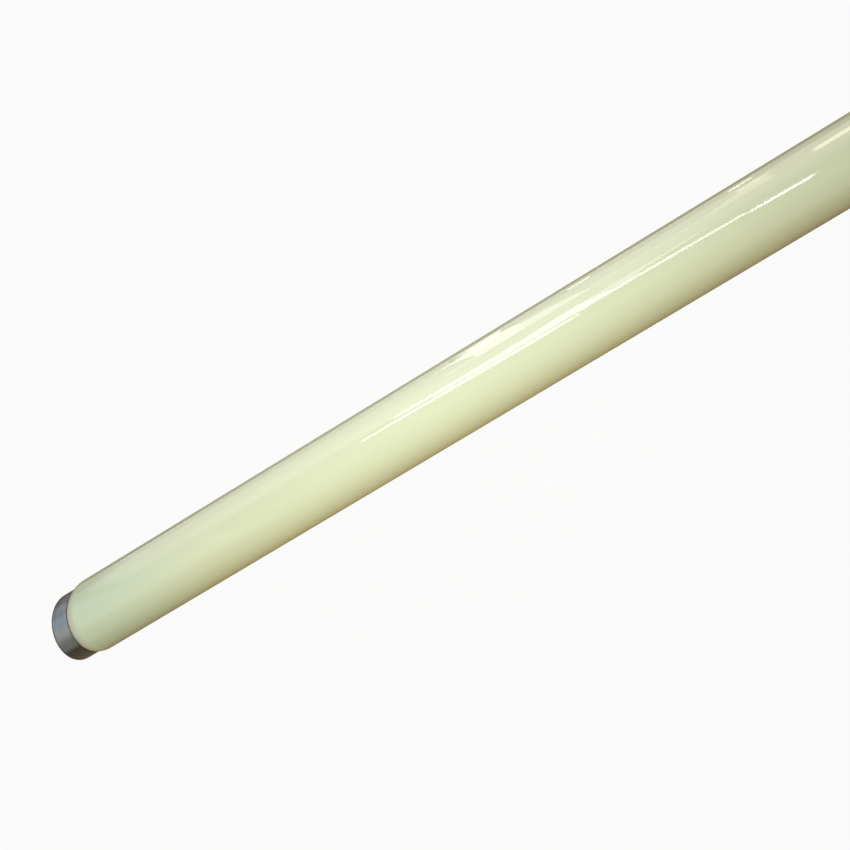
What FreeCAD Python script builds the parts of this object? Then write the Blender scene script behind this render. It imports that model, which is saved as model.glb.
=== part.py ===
"""Straight fluorescent tube: a coated glass bulb with a bi-pin cap on each end.

The lamp lies along X with its origin at its middle, Z up, in millimetres.
"""
import FreeCAD, Part
import math
import os
import Sketcher

# Driving dimensions: alias, value in mm, meaning.
DIMENSIONS = [
    ("lamp_length", 1198.0, "from one base face to the other, without pins"),
    ("tube_diameter", 32.5, "outside of the glass"),
    ("shoulder_radius", 8.0, "convex curve where the glass narrows towards the cap"),
    ("neck_fillet", 2.0, "concave curve where the shoulder runs into the neck"),
    ("neck_gap", 1.5, "from the back of the insulating disc to the end of the glass"),
    ("rim_round", 1.0, "outer rounding of the glass end"),
    ("rim_width", 1.8, "fused glass between the neck and the mouth of the stem"),
    ("stem_diameter", 11.2, "open bore of the stem"),
    ("stem_depth", 26.0, "from the glass end to the bottom of the stem"),
    ("exhaust_diameter", 4.6, "sealed-off exhaust tube in the stem"),
    ("exhaust_length", 11.0, "exhaust tube, from the bottom of the stem to its tip"),
    ("cap_inset", 1.25, "how far the cap's skirt lies inside the glass's outline"),
    ("cap_length", 8.9, "cap, from its rim to its end face"),
    ("cap_sheet", 0.4, "metal of the cap"),
    ("cap_corner", 1.6, "outer bend between skirt and end face"),
    ("cap_face_width", 3.6, "metal ring of the end face"),
    ("seat_gap", 0.1, "clearance between the cap's rim and the glass shoulder"),
    ("cement_thickness", 0.8, "basing cement between neck and skirt"),
    ("cement_margin", 0.1, "bare neck between the cement and the shoulder"),
    ("disc_raise", 0.5, "how far the insulating disc stands out of the cap's face"),
    ("disc_bevel", 0.3, "bevelled edge of the disc's face"),
    ("window_gap", 0.1, "clearance between the disc and the cap's window"),
    ("flange_overlap", 1.2, "how far the disc's flange reaches behind the cap's face"),
    ("flange_thickness", 1.6, "flange of the disc"),
    ("pin_spacing", 12.7, "between the axes of the two pins"),
    ("pin_diameter", 2.35, "contact pin"),
    ("pin_length", 7.1, "pin, from the base face to its tip"),
    ("pin_tip_radius", 0.8, "rounded tip of the pin"),
    ("pin_tip_wall", 1.6, "closed end of the hollow pin"),
    ("pin_bore", 1.0, "hollow of the pin, for its lead wire"),
    ("shank_diameter", 3.0, "pin's shank inside the disc"),
    ("rivet_diameter", 4.2, "pin's riveted head behind the disc"),
    ("rivet_thickness", 0.6, "pin's riveted head"),
    ("wire_diameter", 0.8, "lead wire"),
    ("wire_straight", 0.8, "lead wire, from the riveted head to its bend"),
    ("wire_bend_run", 10.0, "length over which the lead wire bends inwards"),
    ("wire_spacing", 7.0, "between the two lead wires in the stem"),
]

# Radii that follow from the driving dimensions.
TUBE_RADIUS = "dims.tube_diameter / 2"
CAP_RADIUS = f"({TUBE_RADIUS} - dims.cap_inset)"
SKIRT_BORE = f"({CAP_RADIUS} - dims.cap_sheet)"
NECK_RADIUS = f"({SKIRT_BORE} - dims.cement_thickness)"
MOUTH_RADIUS = f"({NECK_RADIUS} - dims.rim_width)"
STEM_RADIUS = "dims.stem_diameter / 2"
EXHAUST_RADIUS = "dims.exhaust_diameter / 2"
WINDOW_RADIUS = f"({CAP_RADIUS} - dims.cap_face_width)"
PIN_RADIUS = "dims.pin_diameter / 2"
SHANK_RADIUS = "dims.shank_diameter / 2"

# Places at one end of the lamp, measured inwards from its base face.
CAP_FACE = "dims.disc_raise"
CAP_BACK = "(dims.disc_raise + dims.cap_sheet)"
CAP_RIM = "(dims.disc_raise + dims.cap_length)"
DISC_BACK = f"({CAP_BACK} + dims.flange_thickness)"
GLASS_END = f"({DISC_BACK} + dims.neck_gap)"
STEM_BOTTOM = f"({GLASS_END} + dims.stem_depth)"

# The glass narrows on two tangent arcs, so that the cap's rim meets the first one.
SEAT_DROP = "(dims.cap_inset + dims.cap_sheet + dims.seat_gap)"
NECK_DROP = "(dims.cap_inset + dims.cap_sheet + dims.cement_thickness)"
ARC_SUM = "(dims.shoulder_radius + dims.neck_fillet)"
SHOULDER_SHARE = f"(dims.shoulder_radius / {ARC_SUM})"
SEAT_RUN = f"sqrt(dims.shoulder_radius ^ 2 - (dims.shoulder_radius - {SEAT_DROP}) ^ 2)"
NECK_RUN = f"sqrt({ARC_SUM} ^ 2 - ({ARC_SUM} - {NECK_DROP}) ^ 2)"
SHOULDER_START = f"({CAP_RIM} + {SEAT_RUN})"
NECK_START = f"({SHOULDER_START} - {NECK_RUN})"

# The lamp's ends, along X, and the two sides of an end, along Y.
ENDS = ("left", "right")
SIDES = ("front", "rear")


def add_sheet(doc):
    """Writes the driving dimensions into the document's spreadsheet."""
    sheet = doc.addObject("Spreadsheet::Sheet", "dims")
    for row, (alias, value, meaning) in enumerate(DIMENSIONS, start=1):
        sheet.set(f"A{row}", alias)
        sheet.set(f"B{row}", str(value))
        sheet.setAlias(f"B{row}", alias)
        sheet.set(f"C{row}", meaning)
    doc.recompute()


def add_body(doc, label):
    body = doc.addObject("PartDesign::Body", label)
    body.Label = label
    return body


def add_sketch(body, name, plane):
    sketch = body.newObject("Sketcher::SketchObject", name)
    support = next(item for item in body.Origin.OriginFeatures if item.Role == plane)
    sketch.AttachmentSupport = (support, [""])
    sketch.MapMode = "FlatFace"
    return sketch


def bind(sketch, constraint, name, expression):
    """Adds a constraint to the sketch and ties its value to the sheet."""
    index = sketch.addConstraint(constraint)
    sketch.renameConstraint(index, name)
    sketch.setExpression(f"Constraints.{name}", expression)


def arc_between(start, end, radius, turn):
    """Arc of less than half a circle from start to end, turning left or right on the way."""
    chord = end - start
    to_left = FreeCAD.Vector(-chord.y, chord.x, 0).normalize()
    reach = math.sqrt(radius ** 2 - (chord.Length / 2) ** 2)
    side = 1 if turn == "left" else -1
    centre = (start + end) / 2 + to_left * reach * side
    first, last = (start, end) if turn == "left" else (end, start)
    angles = [math.atan2(point.y - centre.y, point.x - centre.x) for point in (first, last)]
    circle = Part.Circle(centre, FreeCAD.Vector(0, 0, 1), radius)
    return Part.ArcOfCircle(circle, *angles)


def add_stretch(sketch, index, start, end, bend):
    """Draws one stretch of an outline and gives the vertices that it starts and ends with."""
    if not bend:
        number = sketch.addGeometry(Part.LineSegment(start, end))
        return (number, 1), (number, 2)
    turn, radius = bend
    arc = arc_between(start, end, float(sketch.evalExpression(radius)), turn)
    number = sketch.addGeometry(arc)
    bind(sketch, Sketcher.Constraint("Radius", number, arc.Radius), f"radius_{index}", radius)
    return ((number, 1), (number, 2)) if turn == "left" else ((number, 2), (number, 1))


def place_corner(sketch, index, corner, vertex):
    """Ties one corner of an outline to its place from the sketch's origin.

    A sketch counts its level axis as -1 and its upright axis as -2. Its origin is point 1 of the first.
    """
    along, across = corner[:2]
    if along == across == "0":
        sketch.addConstraint(Sketcher.Constraint("Coincident", *vertex, -1, 1))
        return
    for kind, place, axis in (("DistanceX", along, -2), ("DistanceY", across, -1)):
        if place == "0":
            sketch.addConstraint(Sketcher.Constraint("PointOnObject", *vertex, axis))
            continue
        value = float(sketch.evalExpression(place))
        bind(sketch, Sketcher.Constraint(kind, -1, 1, *vertex, value), f"{kind}_{index}", place)


def draw(sketch, corners, closed=True):
    """Draws an outline through corners given as expressions, all bound to the sheet.

    A corner is (along, across), reached on a straight line, or (along, across, turn, radius),
    reached on an arc of that radius that turns left or right.
    """
    points = [FreeCAD.Vector(*(float(sketch.evalExpression(place)) for place in corner[:2]))
              for corner in corners]
    reached = range(len(corners)) if closed else range(1, len(corners))
    stretches = [add_stretch(sketch, index, points[index - 1], points[index], corners[index][2:])
                 for index in reached]
    following = stretches[1:] + stretches[:1] if closed else stretches[1:]
    for (_, end), (start, _) in zip(stretches, following):
        sketch.addConstraint(Sketcher.Constraint("Coincident", *end, *start))
    vertices = [end for _, end in stretches]
    if not closed:
        vertices.insert(0, stretches[0][0])
    for index, (corner, vertex) in enumerate(zip(corners, vertices)):
        place_corner(sketch, index, corner, vertex)


def add_circle(sketch, name, centre, radius):
    """Draws a circle with its radius bound to the sheet, and gives its number and its centre."""
    size = float(sketch.evalExpression(radius))
    number = sketch.addGeometry(Part.Circle(centre, FreeCAD.Vector(0, 0, 1), size))
    bind(sketch, Sketcher.Constraint("Radius", number, size), name, radius)
    return number, 3


def revolve(body, name, corners):
    """Turns an outline (place along X, radius) about the body's X axis."""
    sketch = add_sketch(body, f"{name}_profile", "XZ_Plane")
    draw(sketch, corners)
    turned = body.newObject("PartDesign::Revolution", name)
    turned.Profile = sketch
    turned.ReferenceAxis = (sketch, ["H_Axis"])
    turned.Angle = 360
    sketch.Visibility = False
    return turned


def stand_at_end(body, end, inset="0"):
    """Puts a body modelled inwards from its origin at one end, inset from the base face."""
    outward, turn = (-1, 0) if end == "left" else (1, 180)
    body.Placement.Rotation = FreeCAD.Rotation(FreeCAD.Vector(0, 0, 1), turn)
    body.setExpression("Placement.Base.x", f"{outward} * (dims.lamp_length / 2 - ({inset}))")


def stand_on_pin_axis(body, end, side, inset):
    """Puts a body on a pin's axis, with its own +Y pointing at the lamp's axis."""
    stand_at_end(body, end, inset)
    points_in = (end == "left") == (side == "front")
    about_pin = FreeCAD.Rotation(FreeCAD.Vector(1, 0, 0), 0 if points_in else 180)
    body.Placement.Rotation = body.Placement.Rotation.multiply(about_pin)
    outward = -1 if side == "front" else 1
    body.setExpression("Placement.Base.y", f"{outward} * dims.pin_spacing / 2")


def glass_bulb(doc):
    """Sealed glass: half of it, from the middle to the right end, and its mirror image."""
    def from_middle(inset):
        return f"dims.lamp_length / 2 - {inset}"

    body = add_body(doc, "glass_bulb")
    exhaust_tip = f"({STEM_BOTTOM} - dims.exhaust_length)"
    inflection = f"({SHOULDER_START} - {NECK_RUN} * {SHOULDER_SHARE})"
    half = revolve(body, "half_bulb", [
        ("0", "0"),
        ("0", TUBE_RADIUS),
        (from_middle(SHOULDER_START), TUBE_RADIUS),
        (from_middle(inflection), f"{TUBE_RADIUS} - {NECK_DROP} * {SHOULDER_SHARE}",
         "right", "dims.shoulder_radius"),
        (from_middle(NECK_START), NECK_RADIUS, "left", "dims.neck_fillet"),
        (from_middle(f"({GLASS_END} + dims.rim_round)"), NECK_RADIUS),
        (from_middle(GLASS_END), f"{NECK_RADIUS} - dims.rim_round", "right", "dims.rim_round"),
        (from_middle(GLASS_END), MOUTH_RADIUS),
        (from_middle(f"({GLASS_END} + {MOUTH_RADIUS} - {STEM_RADIUS})"), STEM_RADIUS,
         "right", f"{MOUTH_RADIUS} - {STEM_RADIUS}"),
        (from_middle(STEM_BOTTOM), STEM_RADIUS),
        (from_middle(STEM_BOTTOM), EXHAUST_RADIUS),
        (from_middle(f"({exhaust_tip} + {EXHAUST_RADIUS})"), EXHAUST_RADIUS),
        (from_middle(exhaust_tip), "0", "right", EXHAUST_RADIUS),
    ])
    whole = body.newObject("PartDesign::Mirrored", "whole_bulb")
    whole.Originals = [half]
    middle = next(item for item in body.Origin.OriginFeatures if item.Role == "YZ_Plane")
    whole.MirrorPlane = (middle, [""])
    body.Tip = whole
    return body


def cap_shell(doc, end):
    """Drawn metal cup with a round window in its end face."""
    body = add_body(doc, f"{end}_cap_shell")
    inner_corner = "(dims.cap_corner - dims.cap_sheet)"
    revolve(body, f"{end}_cup", [
        (CAP_RIM, SKIRT_BORE),
        (CAP_RIM, CAP_RADIUS),
        (f"{CAP_FACE} + dims.cap_corner", CAP_RADIUS),
        (CAP_FACE, f"{CAP_RADIUS} - dims.cap_corner", "left", "dims.cap_corner"),
        (CAP_FACE, WINDOW_RADIUS),
        (CAP_BACK, WINDOW_RADIUS),
        (CAP_BACK, f"{SKIRT_BORE} - {inner_corner}"),
        (f"{CAP_BACK} + {inner_corner}", SKIRT_BORE, "right", inner_corner),
    ])
    stand_at_end(body, end)
    return body


def cement_ring(doc, end):
    """Basing cement between the straight part of the neck and the cap's skirt."""
    body = add_body(doc, f"{end}_cement_ring")
    start = f"({GLASS_END} + dims.rim_round)"
    stop = f"({NECK_START} - dims.cement_margin)"
    revolve(body, f"{end}_ring", [
        (start, NECK_RADIUS),
        (start, SKIRT_BORE),
        (stop, SKIRT_BORE),
        (stop, NECK_RADIUS),
    ])
    stand_at_end(body, end)
    return body


def insulating_disc(doc, end):
    """Moulded disc that stands in the cap's window, with a flange behind it and two pin holes."""
    body = add_body(doc, f"{end}_insulating_disc")
    face_radius = f"({WINDOW_RADIUS} - dims.window_gap)"
    flange_radius = f"({WINDOW_RADIUS} + dims.flange_overlap)"
    revolve(body, f"{end}_disc", [
        ("0", "0"),
        ("0", f"{face_radius} - dims.disc_bevel"),
        ("dims.disc_bevel", face_radius),
        (CAP_BACK, face_radius),
        (CAP_BACK, flange_radius),
        (DISC_BACK, flange_radius),
        (DISC_BACK, "0"),
    ])
    sketch = add_sketch(body, f"{end}_pin_holes_profile", "YZ_Plane")
    spacing = float(sketch.evalExpression("dims.pin_spacing"))
    front = add_circle(sketch, "front_radius", FreeCAD.Vector(-spacing / 2, 0, 0), SHANK_RADIUS)
    rear = add_circle(sketch, "rear_radius", FreeCAD.Vector(spacing / 2, 0, 0), SHANK_RADIUS)
    sketch.addConstraint(Sketcher.Constraint("PointOnObject", *front, -1))
    sketch.addConstraint(Sketcher.Constraint("Symmetric", *front, *rear, -1, 1))
    bind(sketch, Sketcher.Constraint("DistanceX", *front, *rear, spacing), "spacing", "dims.pin_spacing")
    sketch.Visibility = False
    holes = body.newObject("PartDesign::Pocket", f"{end}_pin_holes")
    holes.Profile = sketch
    holes.Type = "ThroughAll"
    holes.Midplane = True
    stand_at_end(body, end)
    return body


def contact_pin(doc, end, side):
    """Hollow pin, modelled inwards from its tip, with a shank and a riveted head at the disc."""
    body = add_body(doc, f"{end}_{side}_pin")
    shank_end = f"(dims.pin_length + {DISC_BACK})"
    rivet_end = f"({shank_end} + dims.rivet_thickness)"
    revolve(body, f"{end}_{side}_pin_turning", [
        ("0", "0"),
        ("0", f"{PIN_RADIUS} - dims.pin_tip_radius"),
        ("dims.pin_tip_radius", PIN_RADIUS, "right", "dims.pin_tip_radius"),
        ("dims.pin_length", PIN_RADIUS),
        ("dims.pin_length", SHANK_RADIUS),
        (shank_end, SHANK_RADIUS),
        (shank_end, "dims.rivet_diameter / 2"),
        (rivet_end, "dims.rivet_diameter / 2"),
        (rivet_end, "dims.pin_bore / 2"),
        ("dims.pin_tip_wall", "dims.pin_bore / 2"),
        ("dims.pin_tip_wall", "0"),
    ])
    stand_on_pin_axis(body, end, side, "-dims.pin_length")
    return body


def lead_wire(doc, end, side):
    """Wire from the closed end of a pin to the bottom of the stem, bent towards the lamp's axis."""
    body = add_body(doc, f"{end}_{side}_lead_wire")
    to_base_face = "(dims.pin_length - dims.pin_tip_wall)"
    bend_start = f"({to_base_face} + {DISC_BACK} + dims.rivet_thickness + dims.wire_straight)"
    shift = "((dims.pin_spacing - dims.wire_spacing) / 2)"
    bend_radius = f"(dims.wire_bend_run ^ 2 + {shift} ^ 2) / (4 * {shift})"
    path = add_sketch(body, f"{end}_{side}_lead_path", "XY_Plane")
    draw(path, [
        ("0", "0"),
        (bend_start, "0"),
        (f"{bend_start} + dims.wire_bend_run / 2", f"{shift} / 2", "left", bend_radius),
        (f"{bend_start} + dims.wire_bend_run", shift, "right", bend_radius),
        (f"{to_base_face} + {STEM_BOTTOM}", shift),
    ], closed=False)
    section = add_sketch(body, f"{end}_{side}_lead_section", "YZ_Plane")
    centre = add_circle(section, "radius", FreeCAD.Vector(), "dims.wire_diameter / 2")
    section.addConstraint(Sketcher.Constraint("Coincident", *centre, -1, 1))
    wire = body.newObject("PartDesign::AdditivePipe", f"{end}_{side}_lead_sweep")
    wire.Profile = section
    wire.Spine = (path, [f"Edge{number}" for number in range(1, path.GeometryCount + 1)])
    path.Visibility = False
    section.Visibility = False
    stand_on_pin_axis(body, end, side, "dims.pin_tip_wall - dims.pin_length")
    return body


def check_document(doc, pieces):
    """Stops on any object that failed to compute and on any piece without a sound shape."""
    failed = [item.Name for item in doc.Objects if {"Invalid", "Error"} & set(item.State)]
    unsound = [piece.Label for piece in pieces if piece.Shape.isNull() or not piece.Shape.isValid()]
    if failed or unsound:
        raise RuntimeError(f"failed objects: {failed}, unsound pieces: {unsound}")


def main():
    doc = FreeCAD.newDocument("fluorescent_tube")
    add_sheet(doc)
    pieces = [glass_bulb(doc)]
    for end in ENDS:
        pieces += [cap_shell(doc, end), cement_ring(doc, end), insulating_disc(doc, end)]
        for side in SIDES:
            pieces += [contact_pin(doc, end, side), lead_wire(doc, end, side)]
    doc.recompute()
    check_document(doc, pieces)
    os.makedirs("parts", exist_ok=True)
    for piece in pieces:
        piece.Shape.exportStep(os.path.join("parts", f"{piece.Label}.step"))


main()
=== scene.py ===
"""Looks of a straight fluorescent tube on a pale studio floor, in metres, in the frame of the CAD part."""
import math

import bmesh
import bpy
from mathutils import Matrix, Vector


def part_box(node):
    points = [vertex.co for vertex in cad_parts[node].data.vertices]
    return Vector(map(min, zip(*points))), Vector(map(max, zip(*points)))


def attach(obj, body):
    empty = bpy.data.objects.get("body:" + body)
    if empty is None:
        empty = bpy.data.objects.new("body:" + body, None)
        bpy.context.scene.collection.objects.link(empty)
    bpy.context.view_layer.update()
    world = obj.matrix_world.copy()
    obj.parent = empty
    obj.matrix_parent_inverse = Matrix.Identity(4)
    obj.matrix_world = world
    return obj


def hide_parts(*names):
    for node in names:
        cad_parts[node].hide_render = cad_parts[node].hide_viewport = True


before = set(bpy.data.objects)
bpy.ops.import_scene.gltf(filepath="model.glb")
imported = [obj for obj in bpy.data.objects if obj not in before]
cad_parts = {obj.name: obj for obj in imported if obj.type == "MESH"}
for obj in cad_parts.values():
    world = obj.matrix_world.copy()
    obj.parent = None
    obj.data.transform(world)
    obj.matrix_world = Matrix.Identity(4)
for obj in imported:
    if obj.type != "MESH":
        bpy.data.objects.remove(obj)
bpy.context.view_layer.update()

# Measures of the CAD part.
tube_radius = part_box("glass_bulb")[1].z
glass_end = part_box("glass_bulb")[1].x
cap_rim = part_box("right_cap_shell")[0].x

# Camera: the picture's size, the focal length and the optical centre, in pixels.
IMAGE_SIZE = 850
FOCAL_PX = 492.4
OPTICAL_CENTRE_PX = (299, 342)
# The middle of the left cap's rim, seen from the camera: right, down and forwards.
RIM_FROM_CAMERA = (-0.09812, 0.12945, 0.23136)
# The tube's left end leans away from the picture by the first angle, and points along the second in it.
AXIS_LEAN = math.radians(4.711)
AXIS_IN_PICTURE = math.radians(147.684)
# How steeply the camera looks down across the tube.
CAMERA_STEEPNESS = math.radians(48)
SENSOR_WIDTH_MM = 36.0
NEAREST_SEEN = 0.01

# Glass end, as in the CAD part.
SHOULDER_RADIUS = 0.008
NECK_FILLET = 0.002
NECK_RADIUS = 0.0138
SEAT_RADIUS = 0.0145
RIM_ROUND = 0.001
RIM_WIDTH = 0.0018
STEM_RADIUS = 0.0056
STEM_DEPTH = 0.026
EXHAUST_RADIUS = 0.0023
EXHAUST_LENGTH = 0.011

# Fineness of the turned glass.
LATHE_SEGMENTS = 192
ARC_STEPS = 12
STRAIGHT_RINGS = 25
SHARP_ANGLE = math.radians(50)
# A point nearer to the axis than this lies on it.
ON_AXIS = 1e-7

# Colours of the coating on most of the tube and near its ends, and a darker beige painted shade right beside
# the caps, where the glass turns in.
CREAM = (0.79, 0.84, 0.60)
MINT = (0.725, 0.84, 0.63)
NECK_SHADE_BEIGE = (0.70, 0.70, 0.58)
# Distance from the middle at which the coating starts to change, and its colours from there to the cap, the
# last of them painted shade beside the cap.
COATING_CHANGE = 0.44
COATING_AND_NECK_SHADE_STOPS = ((0.0, CREAM), (0.55, CREAM), (0.86, MINT), (0.965, MINT), (0.988, NECK_SHADE_BEIGE))
# Clouds and streaks in the coating: cells to a metre, and how much darker and lighter they make it.
CLOUD_CELLS = (9, 30, 30)
CLOUD_TINT = (0.985, 1.015)
STREAK_CELLS = (2.5, 420, 420)
STREAK_TINT = (0.988, 1.012)
# Waves in the glass: cells to a metre and depth.
WAVE_CELLS = (5, 45, 45)
WAVE_DEPTH = 0.00003
GLASS_ROUGHNESS = (0.03, 0.05)
# Most of a noise lies between these values.
NOISE_RANGE = (0.3, 0.7)

# How much of a plain white the floor and the room show to the camera, and in metal and glass.
FLOOR_SHOWN = (0.955, 0.08)
ROOM_SHOWN = (1.0, 0.38)
ROOM_WHITE = 0.968
# The floor and the room as they light the tube.
FLOOR_HALF_SIZE = 8.0
FLOOR_COLOUR = (0.33, 0.23, 0.11)
FLOOR_ROUGHNESS = 0.9
ROOM_COLOUR = (1, 0.885, 0.63)
ROOM_STRENGTH = 0.36

COOL = (0.87, 1.0, 1.12)
CLEAR = (0.87, 0.98, 1.10)
WARM = (1.0, 0.88, 0.45)
# The long lamp over the tube: place, size, radiance, spread in degrees and colour.
KEY_LAMP = ((0.0, -0.09, 0.40), (1.5, 0.12), 0.55, 50, COOL)
# The lamps at the right end, with a name before the same values. The left end has them mirrored.
END_LAMPS = (
    ("lamp", (0.405, -0.06, 0.32), (0.22, 0.10), 0.66, 60, CLEAR),
    ("front_lamp", (0.42, -0.30, 0.155), (0.25, 0.10), 0.60, 75, WARM),
)

# Overhead panels that show as streaks on the glass, the last two in the cap: name, corners along X and Y,
# radiance and colour.
PANEL_HEIGHT = 0.8
DAYLIGHT = (0.96, 0.98, 1.10)
PANELS = (
    ("long_panel",
     ((-0.50, 0.025), (-0.20, -0.10), (-0.12, -0.14), (-0.02, -0.12), (-0.02, -0.065), (-0.115, -0.012),
      (-0.20, 0.005), (-0.29, 0.056), (-0.50, 0.08)),
     8.0, DAYLIGHT),
    ("wide_panel",
     ((-0.42, 0.165), (-0.29, 0.09), (-0.20, 0.038), (-0.115, 0.028), (-0.03, -0.01), (0.05, -0.02),
      (0.145, -0.052), (0.22, -0.08), (0.325, -0.12), (0.325, -0.045), (0.22, 0.01), (0.055, 0.07),
      (0.0, 0.30), (-0.10, 0.235), (-0.20, 0.225), (-0.29, 0.235), (-0.42, 0.28)),
     8.0, DAYLIGHT),
    ("faint_panel",
     ((0.04, 0.10), (0.10, 0.05), (0.13, 0.15), (0.27, 0.19), (0.27, 0.235), (0.0, 0.268)),
     4.0, DAYLIGHT),
    ("short_panel",
     ((0.34, -0.17), (0.475, -0.235), (0.465, -0.14), (0.333, -0.085)),
     10.5, (0.9, 0.97, 1.12)),
    ("sky_panel",
     ((-1.5, -0.12), (-0.85, -0.12), (-0.85, 0.75), (-1.5, 0.75)),
     1.25, (0.82, 0.96, 1.08)),
    ("front_panel",
     ((-1.5, -1.1), (-0.85, -1.1), (-0.85, -0.12), (-1.5, -0.12)),
     1.3, (1, 1, 0.95)),
)

# A fade is a row of stops, each with a place and a share of the light.
EVEN = ((0, 1), (1, 1))

# A sloping plane behind the tube carries the ceiling and the cards: its upper and lower edges.
SLOPE_TOP = Vector((0, 0.19, 0.90))
SLOPE_FOOT = Vector((0, 0.90, 0.0))
CEILING_REACH = (-1.15, 1.0)
CEILING_RADIANCE = 2.7
CEILING_DIMMEST = 0.6
CEILING_COLOUR = (1, 0.9, 0.87)
# From the ceiling's left to its right, and from its foot to its top.
CEILING_FADES = (((0, 0), (0.052, 0.9), (0.3, 1), (0.55, 1), (1, 0)), ((0, 1), (0.8, 1), (1, 0)))

# Cards before the ceiling, the last two past its left edge: name, corners along X and down the plane,
# radiance and colour.
CARD_CLOSENESS = 0.97
WINDOW_LIGHT = (1, 0.97, 0.94)
CARDS = (
    ("window_card",
     ((-0.31, 0.97), (-0.31, 0.86), (-0.27, 0.72), (-0.245, 0.54), (-0.245, 0.43), (-0.16, 0.43),
      (-0.14, 0.72), (-0.16, 0.98)),
     7.0, WINDOW_LIGHT),
    ("beam_card",
     ((-0.31, 0.43), (-0.245, 0.43), (-0.245, 0.51), (-0.31, 0.50)),
     4.0, WINDOW_LIGHT),
    ("pane_card",
     ((-0.16, 0.43), (-0.02, 0.43), (-0.05, 0.55), (-0.10, 0.66), (-0.14, 0.70)),
     5.5, (1, 0.97, 0.92)),
    ("edge_card",
     ((-0.02, 0.43), (0.19, 0.44), (0.19, 0.49), (-0.03, 0.52)),
     3.4, (1, 0.95, 0.9)),
    ("warm_card",
     ((0.19, 0.43), (0.31, 0.43), (0.31, 0.60), (0.25, 0.60), (0.19, 0.52)),
     3.6, (1, 0.93, 0.78)),
    ("rose_card",
     ((0.255, 0.60), (0.30, 0.60), (0.34, 0.70), (0.335, 0.75), (0.29, 0.74)),
     4.0, (1, 0.89, 0.80)),
    ("far_card",
     ((0.385, 0.43), (0.47, 0.43), (0.47, 0.57), (0.385, 0.57)),
     5.5, (1, 0.92, 0.74)),
    ("sky_card",
     ((-1.9, 0.28), (-1.13, 0.28), (-1.13, 0.74), (-1.9, 0.74)),
     0.60, (0.70, 0.99, 1.12)),
    ("cap_card",
     ((-1.9, 0.74), (-1.13, 0.74), (-1.13, 1.0), (-1.9, 1.0)),
     0.25, (0.74, 0.98, 1.10)),
)

# Low cards close behind the tube: name, place along Y, reach along X and Z, radiance, colour, and the fade
# from left to right.
LOW_CARD_DIMMEST = 0.3
LOW_CARDS = (
    ("low_card", 0.110, (-0.68, -0.06), (-0.016, 0.030), 1.8, (1, 0.93, 0.84),
     ((0, 0), (0.1, 0.75), (0.4, 0.9), (0.5, 1), (0.6, 1), (0.75, 0.7), (1, 0))),
    ("line_card", 0.108, (-0.625, -0.562), (-0.004, 0.005), 1.9, (0.95, 1, 0.98), EVEN),
    ("sill_card", 0.108, (-0.372, -0.336), (0.001, 0.032), 6.0, WINDOW_LIGHT, ((0, 0), (0.5, 1), (1, 1))),
    ("glint_card", 0.108, (-0.289, -0.274), (0.006, 0.021), 5.0, WINDOW_LIGHT, EVEN),
    ("small_glint_card", 0.108, (-0.182, -0.167), (0.004, 0.017), 4.5, WINDOW_LIGHT, EVEN),
)


def add_to_scene(name, data):
    """Object with the given data, linked into the scene."""
    item = bpy.data.objects.new(name, data)
    bpy.context.scene.collection.objects.link(item)
    return item


def rectangle(first, second):
    """Corners of a rectangle in turn, from its reach along two axes."""
    (left, right), (foot, top) = first, second
    return [(left, foot), (right, foot), (right, top), (left, top)]


# Camera


def add_camera():
    """Camera at the photograph's viewing angle."""
    toward_cap = Vector((-1, 0, 0))
    across = Vector((0, math.cos(CAMERA_STEEPNESS), -math.sin(CAMERA_STEEPNESS)))
    forward = math.sin(AXIS_LEAN) * toward_cap + math.cos(AXIS_LEAN) * across
    along = (toward_cap - math.sin(AXIS_LEAN) * forward).normalized()
    beside = forward.cross(along)
    right = math.cos(AXIS_IN_PICTURE) * along - math.sin(AXIS_IN_PICTURE) * beside
    down = math.sin(AXIS_IN_PICTURE) * along + math.cos(AXIS_IN_PICTURE) * beside
    place = Vector((-cap_rim, 0, 0))
    for size, way in zip(RIM_FROM_CAMERA, (right, down, forward)):
        place -= size * way
    data = bpy.data.cameras.new("camera")
    data.sensor_width = SENSOR_WIDTH_MM
    data.lens = FOCAL_PX / IMAGE_SIZE * SENSOR_WIDTH_MM
    data.shift_x = 0.5 - OPTICAL_CENTRE_PX[0] / IMAGE_SIZE
    data.shift_y = OPTICAL_CENTRE_PX[1] / IMAGE_SIZE - 0.5
    data.clip_start = NEAREST_SEEN
    camera = add_to_scene("camera", data)
    turn = Matrix((right, -down, -forward)).transposed()
    camera.matrix_world = Matrix.Translation(place) @ turn.to_4x4()
    bpy.context.scene.camera = camera


# Glass


def arc(centre, radius, start, end):
    """Points (along, radius) on an arc, with its angles in degrees."""
    angles = [math.radians(start + (end - start) * step / ARC_STEPS) for step in range(ARC_STEPS + 1)]
    return [(centre[0] + radius * math.cos(angle), centre[1] + radius * math.sin(angle)) for angle in angles]


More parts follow.
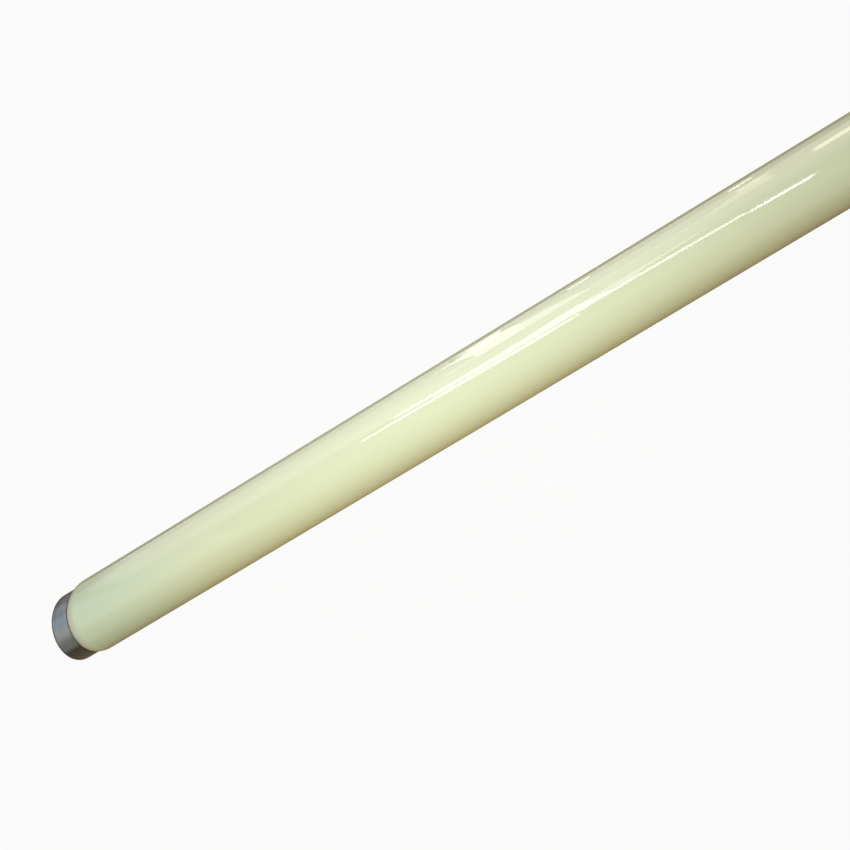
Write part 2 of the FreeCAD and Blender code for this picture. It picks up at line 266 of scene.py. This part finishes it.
def glass_end_outline():
    """Right end of the bulb, from the straight glass over the neck and down the stem to the exhaust tip."""
    seat_run = math.sqrt(SHOULDER_RADIUS ** 2 - (SHOULDER_RADIUS - tube_radius + SEAT_RADIUS) ** 2)
    shoulder_start = cap_rim - seat_run
    arc_sum = SHOULDER_RADIUS + NECK_FILLET
    bend = math.acos(1 - (tube_radius - NECK_RADIUS) / arc_sum)
    neck_start = shoulder_start + arc_sum * math.sin(bend)
    bend_degrees = math.degrees(bend)
    mouth_radius = NECK_RADIUS - RIM_WIDTH
    flare = mouth_radius - STEM_RADIUS
    stem_bottom = glass_end - STEM_DEPTH
    tip = stem_bottom + EXHAUST_LENGTH
    return (
        arc((shoulder_start, tube_radius - SHOULDER_RADIUS), SHOULDER_RADIUS, 90, 90 - bend_degrees)
        + arc((neck_start, NECK_RADIUS + NECK_FILLET), NECK_FILLET, 270 - bend_degrees, 270)
        + arc((glass_end - RIM_ROUND, NECK_RADIUS - RIM_ROUND), RIM_ROUND, 90, 0)
        + arc((glass_end - flare, mouth_radius), flare, 0, -90)
        + [(stem_bottom, STEM_RADIUS), (stem_bottom, EXHAUST_RADIUS)]
        + arc((tip - EXHAUST_RADIUS, 0), EXHAUST_RADIUS, 90, 0)
    )


def lathe(name, outline):
    """Closed mesh turned about X from an outline (along, radius) that starts and ends on the axis."""
    mesh = bmesh.new()
    turns = [2 * math.pi * step / LATHE_SEGMENTS for step in range(LATHE_SEGMENTS)]
    rings = []
    for along, radius in outline:
        places = [(along, radius * math.cos(turn), radius * math.sin(turn)) for turn in turns]
        if radius < ON_AXIS:
            places = places[:1]
        rings.append([mesh.verts.new(place) for place in places])
    for first, second in zip(rings, rings[1:]):
        for step in range(LATHE_SEGMENTS):
            following = (step + 1) % LATHE_SEGMENTS
            corners = [first[step % len(first)], first[following % len(first)],
                       second[following % len(second)], second[step % len(second)]]
            mesh.faces.new(list(dict.fromkeys(corners)))
    bmesh.ops.recalc_face_normals(mesh, faces=mesh.faces)
    data = bpy.data.meshes.new(name)
    mesh.to_mesh(data)
    mesh.free()
    data.shade_smooth()
    data.set_sharp_from_angle(angle=SHARP_ANGLE)
    return add_to_scene(name, data)


def add_glass():
    """The coated bulb with both its ends, turned finer than the CAD mesh."""
    end = glass_end_outline()
    other_end = [(-along, radius) for along, radius in reversed(end)]
    reach = end[0][0]
    steps = [2 * step / (STRAIGHT_RINGS + 1) - 1 for step in range(1, STRAIGHT_RINGS + 1)]
    straight = [(reach * step, tube_radius) for step in steps]
    piece = lathe("coated_tube", other_end + straight + end)
    piece.data.materials.append(coated_glass())
    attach(piece, "root")
    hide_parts("glass_bulb")


# Materials


def new_material(name):
    """Material with nodes, and its shader."""
    material = bpy.data.materials.new(name)
    material.use_nodes = True
    return material, material.node_tree.nodes["Principled BSDF"]


def object_place(tree):
    """Place in the object's own coordinates."""
    return tree.nodes.new("ShaderNodeTexCoord").outputs["Object"]


def maths(tree, operation, *values):
    """Result of an operation on sockets and plain numbers."""
    node = tree.nodes.new("ShaderNodeMath")
    node.operation = operation
    for socket, value in zip(node.inputs, values):
        if isinstance(value, bpy.types.NodeSocket):
            tree.links.new(value, socket)
        else:
            socket.default_value = value
    return node.outputs[0]


def split(tree, vector):
    """The vector's X, Y and Z, by name."""
    node = tree.nodes.new("ShaderNodeSeparateXYZ")
    tree.links.new(vector, node.inputs["Vector"])
    return node.outputs


def noise(tree, cells):
    """Noise with about so many cells to a metre along each axis of the object."""
    stretch = tree.nodes.new("ShaderNodeMapping")
    stretch.inputs["Scale"].default_value = cells
    texture = tree.nodes.new("ShaderNodeTexNoise")
    texture.inputs["Scale"].default_value = 1.0
    tree.links.new(object_place(tree), stretch.inputs["Vector"])
    tree.links.new(stretch.outputs["Vector"], texture.inputs["Vector"])
    return texture.outputs["Fac"]


def spread(tree, value, source, target):
    """The value carried from one range to another, and held inside it."""
    node = tree.nodes.new("ShaderNodeMapRange")
    node.inputs["From Min"].default_value, node.inputs["From Max"].default_value = source
    node.inputs["To Min"].default_value, node.inputs["To Max"].default_value = target
    tree.links.new(value, node.inputs["Value"])
    return node.outputs["Result"]


def ramp(tree, value, stops):
    """Colour that passes from stop to stop as the value runs from 0 to 1."""
    node = tree.nodes.new("ShaderNodeValToRGB")
    elements = node.color_ramp.elements
    while len(elements) < len(stops):
        elements.new(1.0)
    for element, (position, colour) in zip(elements, stops):
        element.position = position
        element.color = (*colour, 1)
    tree.links.new(value, node.inputs["Fac"])
    return node.outputs["Color"]


def lightened(tree, colour, texture, tint):
    """The colour made darker and lighter by a noise."""
    node = tree.nodes.new("ShaderNodeHueSaturation")
    tree.links.new(spread(tree, texture, NOISE_RANGE, tint), node.inputs["Value"])
    tree.links.new(colour, node.inputs["Color"])
    return node.outputs["Color"]


def add_relief(tree, shader, height, depth):
    """Fine relief of the given depth in the shader's normal."""
    bump = tree.nodes.new("ShaderNodeBump")
    bump.inputs["Strength"].default_value = 1.0
    bump.inputs["Distance"].default_value = depth
    tree.links.new(height, bump.inputs["Height"])
    tree.links.new(bump.outputs["Normal"], shader.inputs["Normal"])


def coated_glass():
    """Greenish cream coating behind clear glass, more mint towards the ends, with a darker beige painted
    shade right beside the caps.
    """
    material, shader = new_material("coated_glass")
    tree = material.node_tree
    from_middle = maths(tree, "ABSOLUTE", split(tree, object_place(tree))["X"])
    toward_end = spread(tree, from_middle, (COATING_CHANGE, cap_rim), (0, 1))
    clouds = noise(tree, CLOUD_CELLS)
    streaks = noise(tree, STREAK_CELLS)
    # The last stop paints shade in beige beside the caps, where the glass turns in.
    colour = ramp(tree, toward_end, COATING_AND_NECK_SHADE_STOPS)
    colour = lightened(tree, colour, clouds, CLOUD_TINT)
    colour = lightened(tree, colour, streaks, STREAK_TINT)
    tree.links.new(colour, shader.inputs["Base Color"])
    tree.links.new(spread(tree, clouds, NOISE_RANGE, GLASS_ROUGHNESS), shader.inputs["Roughness"])
    add_relief(tree, shader, noise(tree, WAVE_CELLS), WAVE_DEPTH)
    return material


def grained(name, dark, pale, roughness, metallic, cells, depth):
    """Material whose colour, roughness and relief follow one grain."""
    material, shader = new_material(name)
    tree = material.node_tree
    grain = noise(tree, cells)
    colour = ramp(tree, grain, tuple(zip(NOISE_RANGE, (dark, pale))))
    tree.links.new(colour, shader.inputs["Base Color"])
    tree.links.new(spread(tree, grain, NOISE_RANGE, roughness), shader.inputs["Roughness"])
    shader.inputs["Metallic"].default_value = metallic
    add_relief(tree, shader, grain, depth)
    return material


def cap_metal():
    """Satin aluminium with fine marks round the skirt."""
    return grained("cap_metal", dark=(0.195, 0.205, 0.21), pale=(0.24, 0.25, 0.255), roughness=(0.19, 0.25),
                   metallic=1.0, cells=(900, 90, 90), depth=0.00001)


def insulator():
    """Brown laminate with a fine speckle."""
    return grained("insulator", dark=(0.21, 0.125, 0.075), pale=(0.33, 0.215, 0.14), roughness=(0.5, 0.7),
                   metallic=0.0, cells=(1800, 1800, 1800), depth=0.00003)


def pin_brass():
    """Turned brass with fine rings."""
    return grained("pin_brass", dark=(0.70, 0.57, 0.32), pale=(0.84, 0.72, 0.45), roughness=(0.22, 0.34),
                   metallic=1.0, cells=(3500, 60, 60), depth=0.00001)


def cement():
    """Sandy basing cement."""
    return grained("cement", dark=(0.36, 0.29, 0.20), pale=(0.56, 0.47, 0.36), roughness=(0.85, 1.0),
                   metallic=0.0, cells=(2200, 2200, 2200), depth=0.00008)


def lead_wire():
    """Drawn wire with marks along it."""
    return grained("lead_wire", dark=(0.55, 0.53, 0.50), pale=(0.68, 0.66, 0.63), roughness=(0.25, 0.40),
                   metallic=1.0, cells=(120, 4000, 4000), depth=0.00001)


def dress_cad_nodes():
    """Better materials for the pieces carried over from the CAD part."""
    looks = {"cap_shell": cap_metal(), "insulating_disc": insulator(), "cement_ring": cement()}
    brass = pin_brass()
    wire = lead_wire()
    for side in ("front", "rear"):
        looks[f"{side}_pin"] = brass
        looks[f"{side}_lead_wire"] = wire
    for end in ("left", "right"):
        for piece, material in looks.items():
            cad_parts[f"{end}_{piece}"].material_slots[0].material = material


def glow(name, colour):
    """Material that only gives off light, found by reflections alone, and its shader."""
    material, shader = new_material(name)
    material.cycles.emission_sampling = "NONE"
    shader.inputs["Base Color"].default_value = (0, 0, 0, 1)
    shader.inputs["Specular IOR Level"].default_value = 0.0
    shader.inputs["Emission Color"].default_value = (*colour, 1)
    return material, shader


def even_glow(name, radiance, colour):
    """Glow that is the same all over."""
    material, shader = glow(name, colour)
    shader.inputs["Emission Strength"].default_value = radiance
    return material


def fading_glow(name, dimmest, radiance, colour, across, upright):
    """Glow that rises and falls along X and Z."""
    material, shader = glow(name, colour)
    tree = material.node_tree
    place = split(tree, tree.nodes.new("ShaderNodeTexCoord").outputs["Generated"])
    shares = []
    for way, fade in (("X", across), ("Z", upright)):
        stops = [(position, (share, share, share)) for position, share in fade]
        shares.append(ramp(tree, place[way], stops))
    strength = spread(tree, maths(tree, "MULTIPLY", *shares), (0, 1), (dimmest, radiance))
    tree.links.new(strength, shader.inputs["Emission Strength"])
    return material


# Floor, lights and world


def show_white(tree, plain, white, to_camera, in_reflections, output):
    """Mix a white into a plain shader, by how much of it shows to the camera, and in metal and glass."""
    path = tree.nodes.new("ShaderNodeLightPath").outputs
    mirrored = maths(tree, "MAXIMUM", path["Is Glossy Ray"], path["Is Transmission Ray"])
    dimmed = maths(tree, "MULTIPLY", mirrored, in_reflections)
    mix = tree.nodes.new("ShaderNodeMixShader")
    tree.links.new(maths(tree, "MULTIPLY_ADD", path["Is Camera Ray"], to_camera, dimmed), mix.inputs[0])
    tree.links.new(plain.outputs[0], mix.inputs[1])
    tree.links.new(white.outputs[0], mix.inputs[2])
    tree.links.new(mix.outputs[0], tree.nodes[output].inputs[0])


def add_floor():
    """Brown table top that shows nearly white to the camera."""
    reach = (-FLOOR_HALF_SIZE, FLOOR_HALF_SIZE)
    corners = [(*corner, -tube_radius) for corner in rectangle(reach, reach)]
    data = bpy.data.meshes.new("floor")
    data.from_pydata(corners, [], [(0, 1, 2, 3)])
    floor = add_to_scene("floor", data)
    material, shader = new_material("floor")
    # The white is only seen and lights nothing, so it isn't sampled as a lamp.
    material.cycles.emission_sampling = "NONE"
    shader.inputs["Base Color"].default_value = (*FLOOR_COLOUR, 1)
    shader.inputs["Roughness"].default_value = FLOOR_ROUGHNESS
    shader.inputs["Specular IOR Level"].default_value = 0.0
    tree = material.node_tree
    white = tree.nodes.new("ShaderNodeEmission")
    show_white(tree, shader, white, *FLOOR_SHOWN, "Material Output")
    data.materials.append(material)


def add_soft_lamp(name, place, size, radiance, spread_degrees, colour):
    """Lamp aimed at the tube's axis, which doesn't show in the tube."""
    data = bpy.data.lights.new(name, "AREA")
    data.shape = "RECTANGLE"
    data.size, data.size_y = size
    data.energy = radiance * math.pi * size[0] * size[1]
    data.color = colour
    data.spread = math.radians(spread_degrees)
    lamp = add_to_scene(name, data)
    lamp.location = place
    lamp.rotation_euler = (math.atan2(-place[1], place[2]), 0, 0)
    lamp.visible_camera = False
    lamp.visible_glossy = False


def add_soft_lamps():
    """One long lamp over the tube, and two more at each end."""
    add_soft_lamp("key", *KEY_LAMP)
    for name, (along, across, height), *light in END_LAMPS:
        for end, side in (("left", -1), ("right", 1)):
            add_soft_lamp(f"{end}_{name}", (side * along, across, height), *light)


def add_card(name, corners, material):
    """Glowing card that only shows in reflections."""
    data = bpy.data.meshes.new(name)
    data.from_pydata(corners, [], [range(len(corners))])
    data.materials.append(material)
    card = add_to_scene(name, data)
    card.visible_camera = False
    card.visible_diffuse = False
    card.visible_shadow = False


def add_panels():
    """Panels high over the tube and past its left end."""
    for name, corners, radiance, colour in PANELS:
        places = [(*corner, PANEL_HEIGHT) for corner in corners]
        add_card(name, places, even_glow(name, radiance, colour))


def on_slope(along, depth, closeness=1.0):
    """Place on the sloping plane, or nearer to the tube."""
    place = SLOPE_TOP.lerp(SLOPE_FOOT, depth) * closeness
    return (along, place.y, place.z)


def add_ceiling():
    """The wide card behind the tube."""
    name = "ceiling_card"
    places = [on_slope(along, depth) for along, depth in rectangle(CEILING_REACH, (0, 1))]
    material = fading_glow(name, CEILING_DIMMEST, CEILING_RADIANCE, CEILING_COLOUR, *CEILING_FADES)
    add_card(name, places, material)


def add_cards():
    """The smaller cards on the sloping plane, and the low ones close to the tube."""
    for name, corners, radiance, colour in CARDS:
        places = [on_slope(along, depth, CARD_CLOSENESS) for along, depth in corners]
        add_card(name, places, even_glow(name, radiance, colour))
    for name, behind, reach, rise, radiance, colour, fade in LOW_CARDS:
        places = [(along, behind, height) for along, height in rectangle(reach, rise)]
        add_card(name, places, fading_glow(name, LOW_CARD_DIMMEST, radiance, colour, fade, EVEN))


def add_world():
    """Warm room light, seen as white by the camera and in metal and glass."""
    world = bpy.data.worlds.new("world")
    world.use_nodes = True
    # Scattered rays find the room by themselves, with fewer speckles than sampling it as a lamp leaves.
    world.cycles.sampling_method = "NONE"
    tree = world.node_tree
    room = tree.nodes["Background"]
    room.inputs["Color"].default_value = (*ROOM_COLOUR, 1)
    room.inputs["Strength"].default_value = ROOM_STRENGTH
    white = tree.nodes.new("ShaderNodeBackground")
    white.inputs["Color"].default_value = (1, 1, 1, 1)
    white.inputs["Strength"].default_value = ROOM_WHITE
    show_white(tree, room, white, *ROOM_SHOWN, "World Output")
    bpy.context.scene.world = world


bpy.context.scene.view_settings.view_transform = "Standard"
add_camera()
add_glass()
dress_cad_nodes()
add_floor()
add_soft_lamps()
add_panels()
add_ceiling()
add_cards()
add_world()
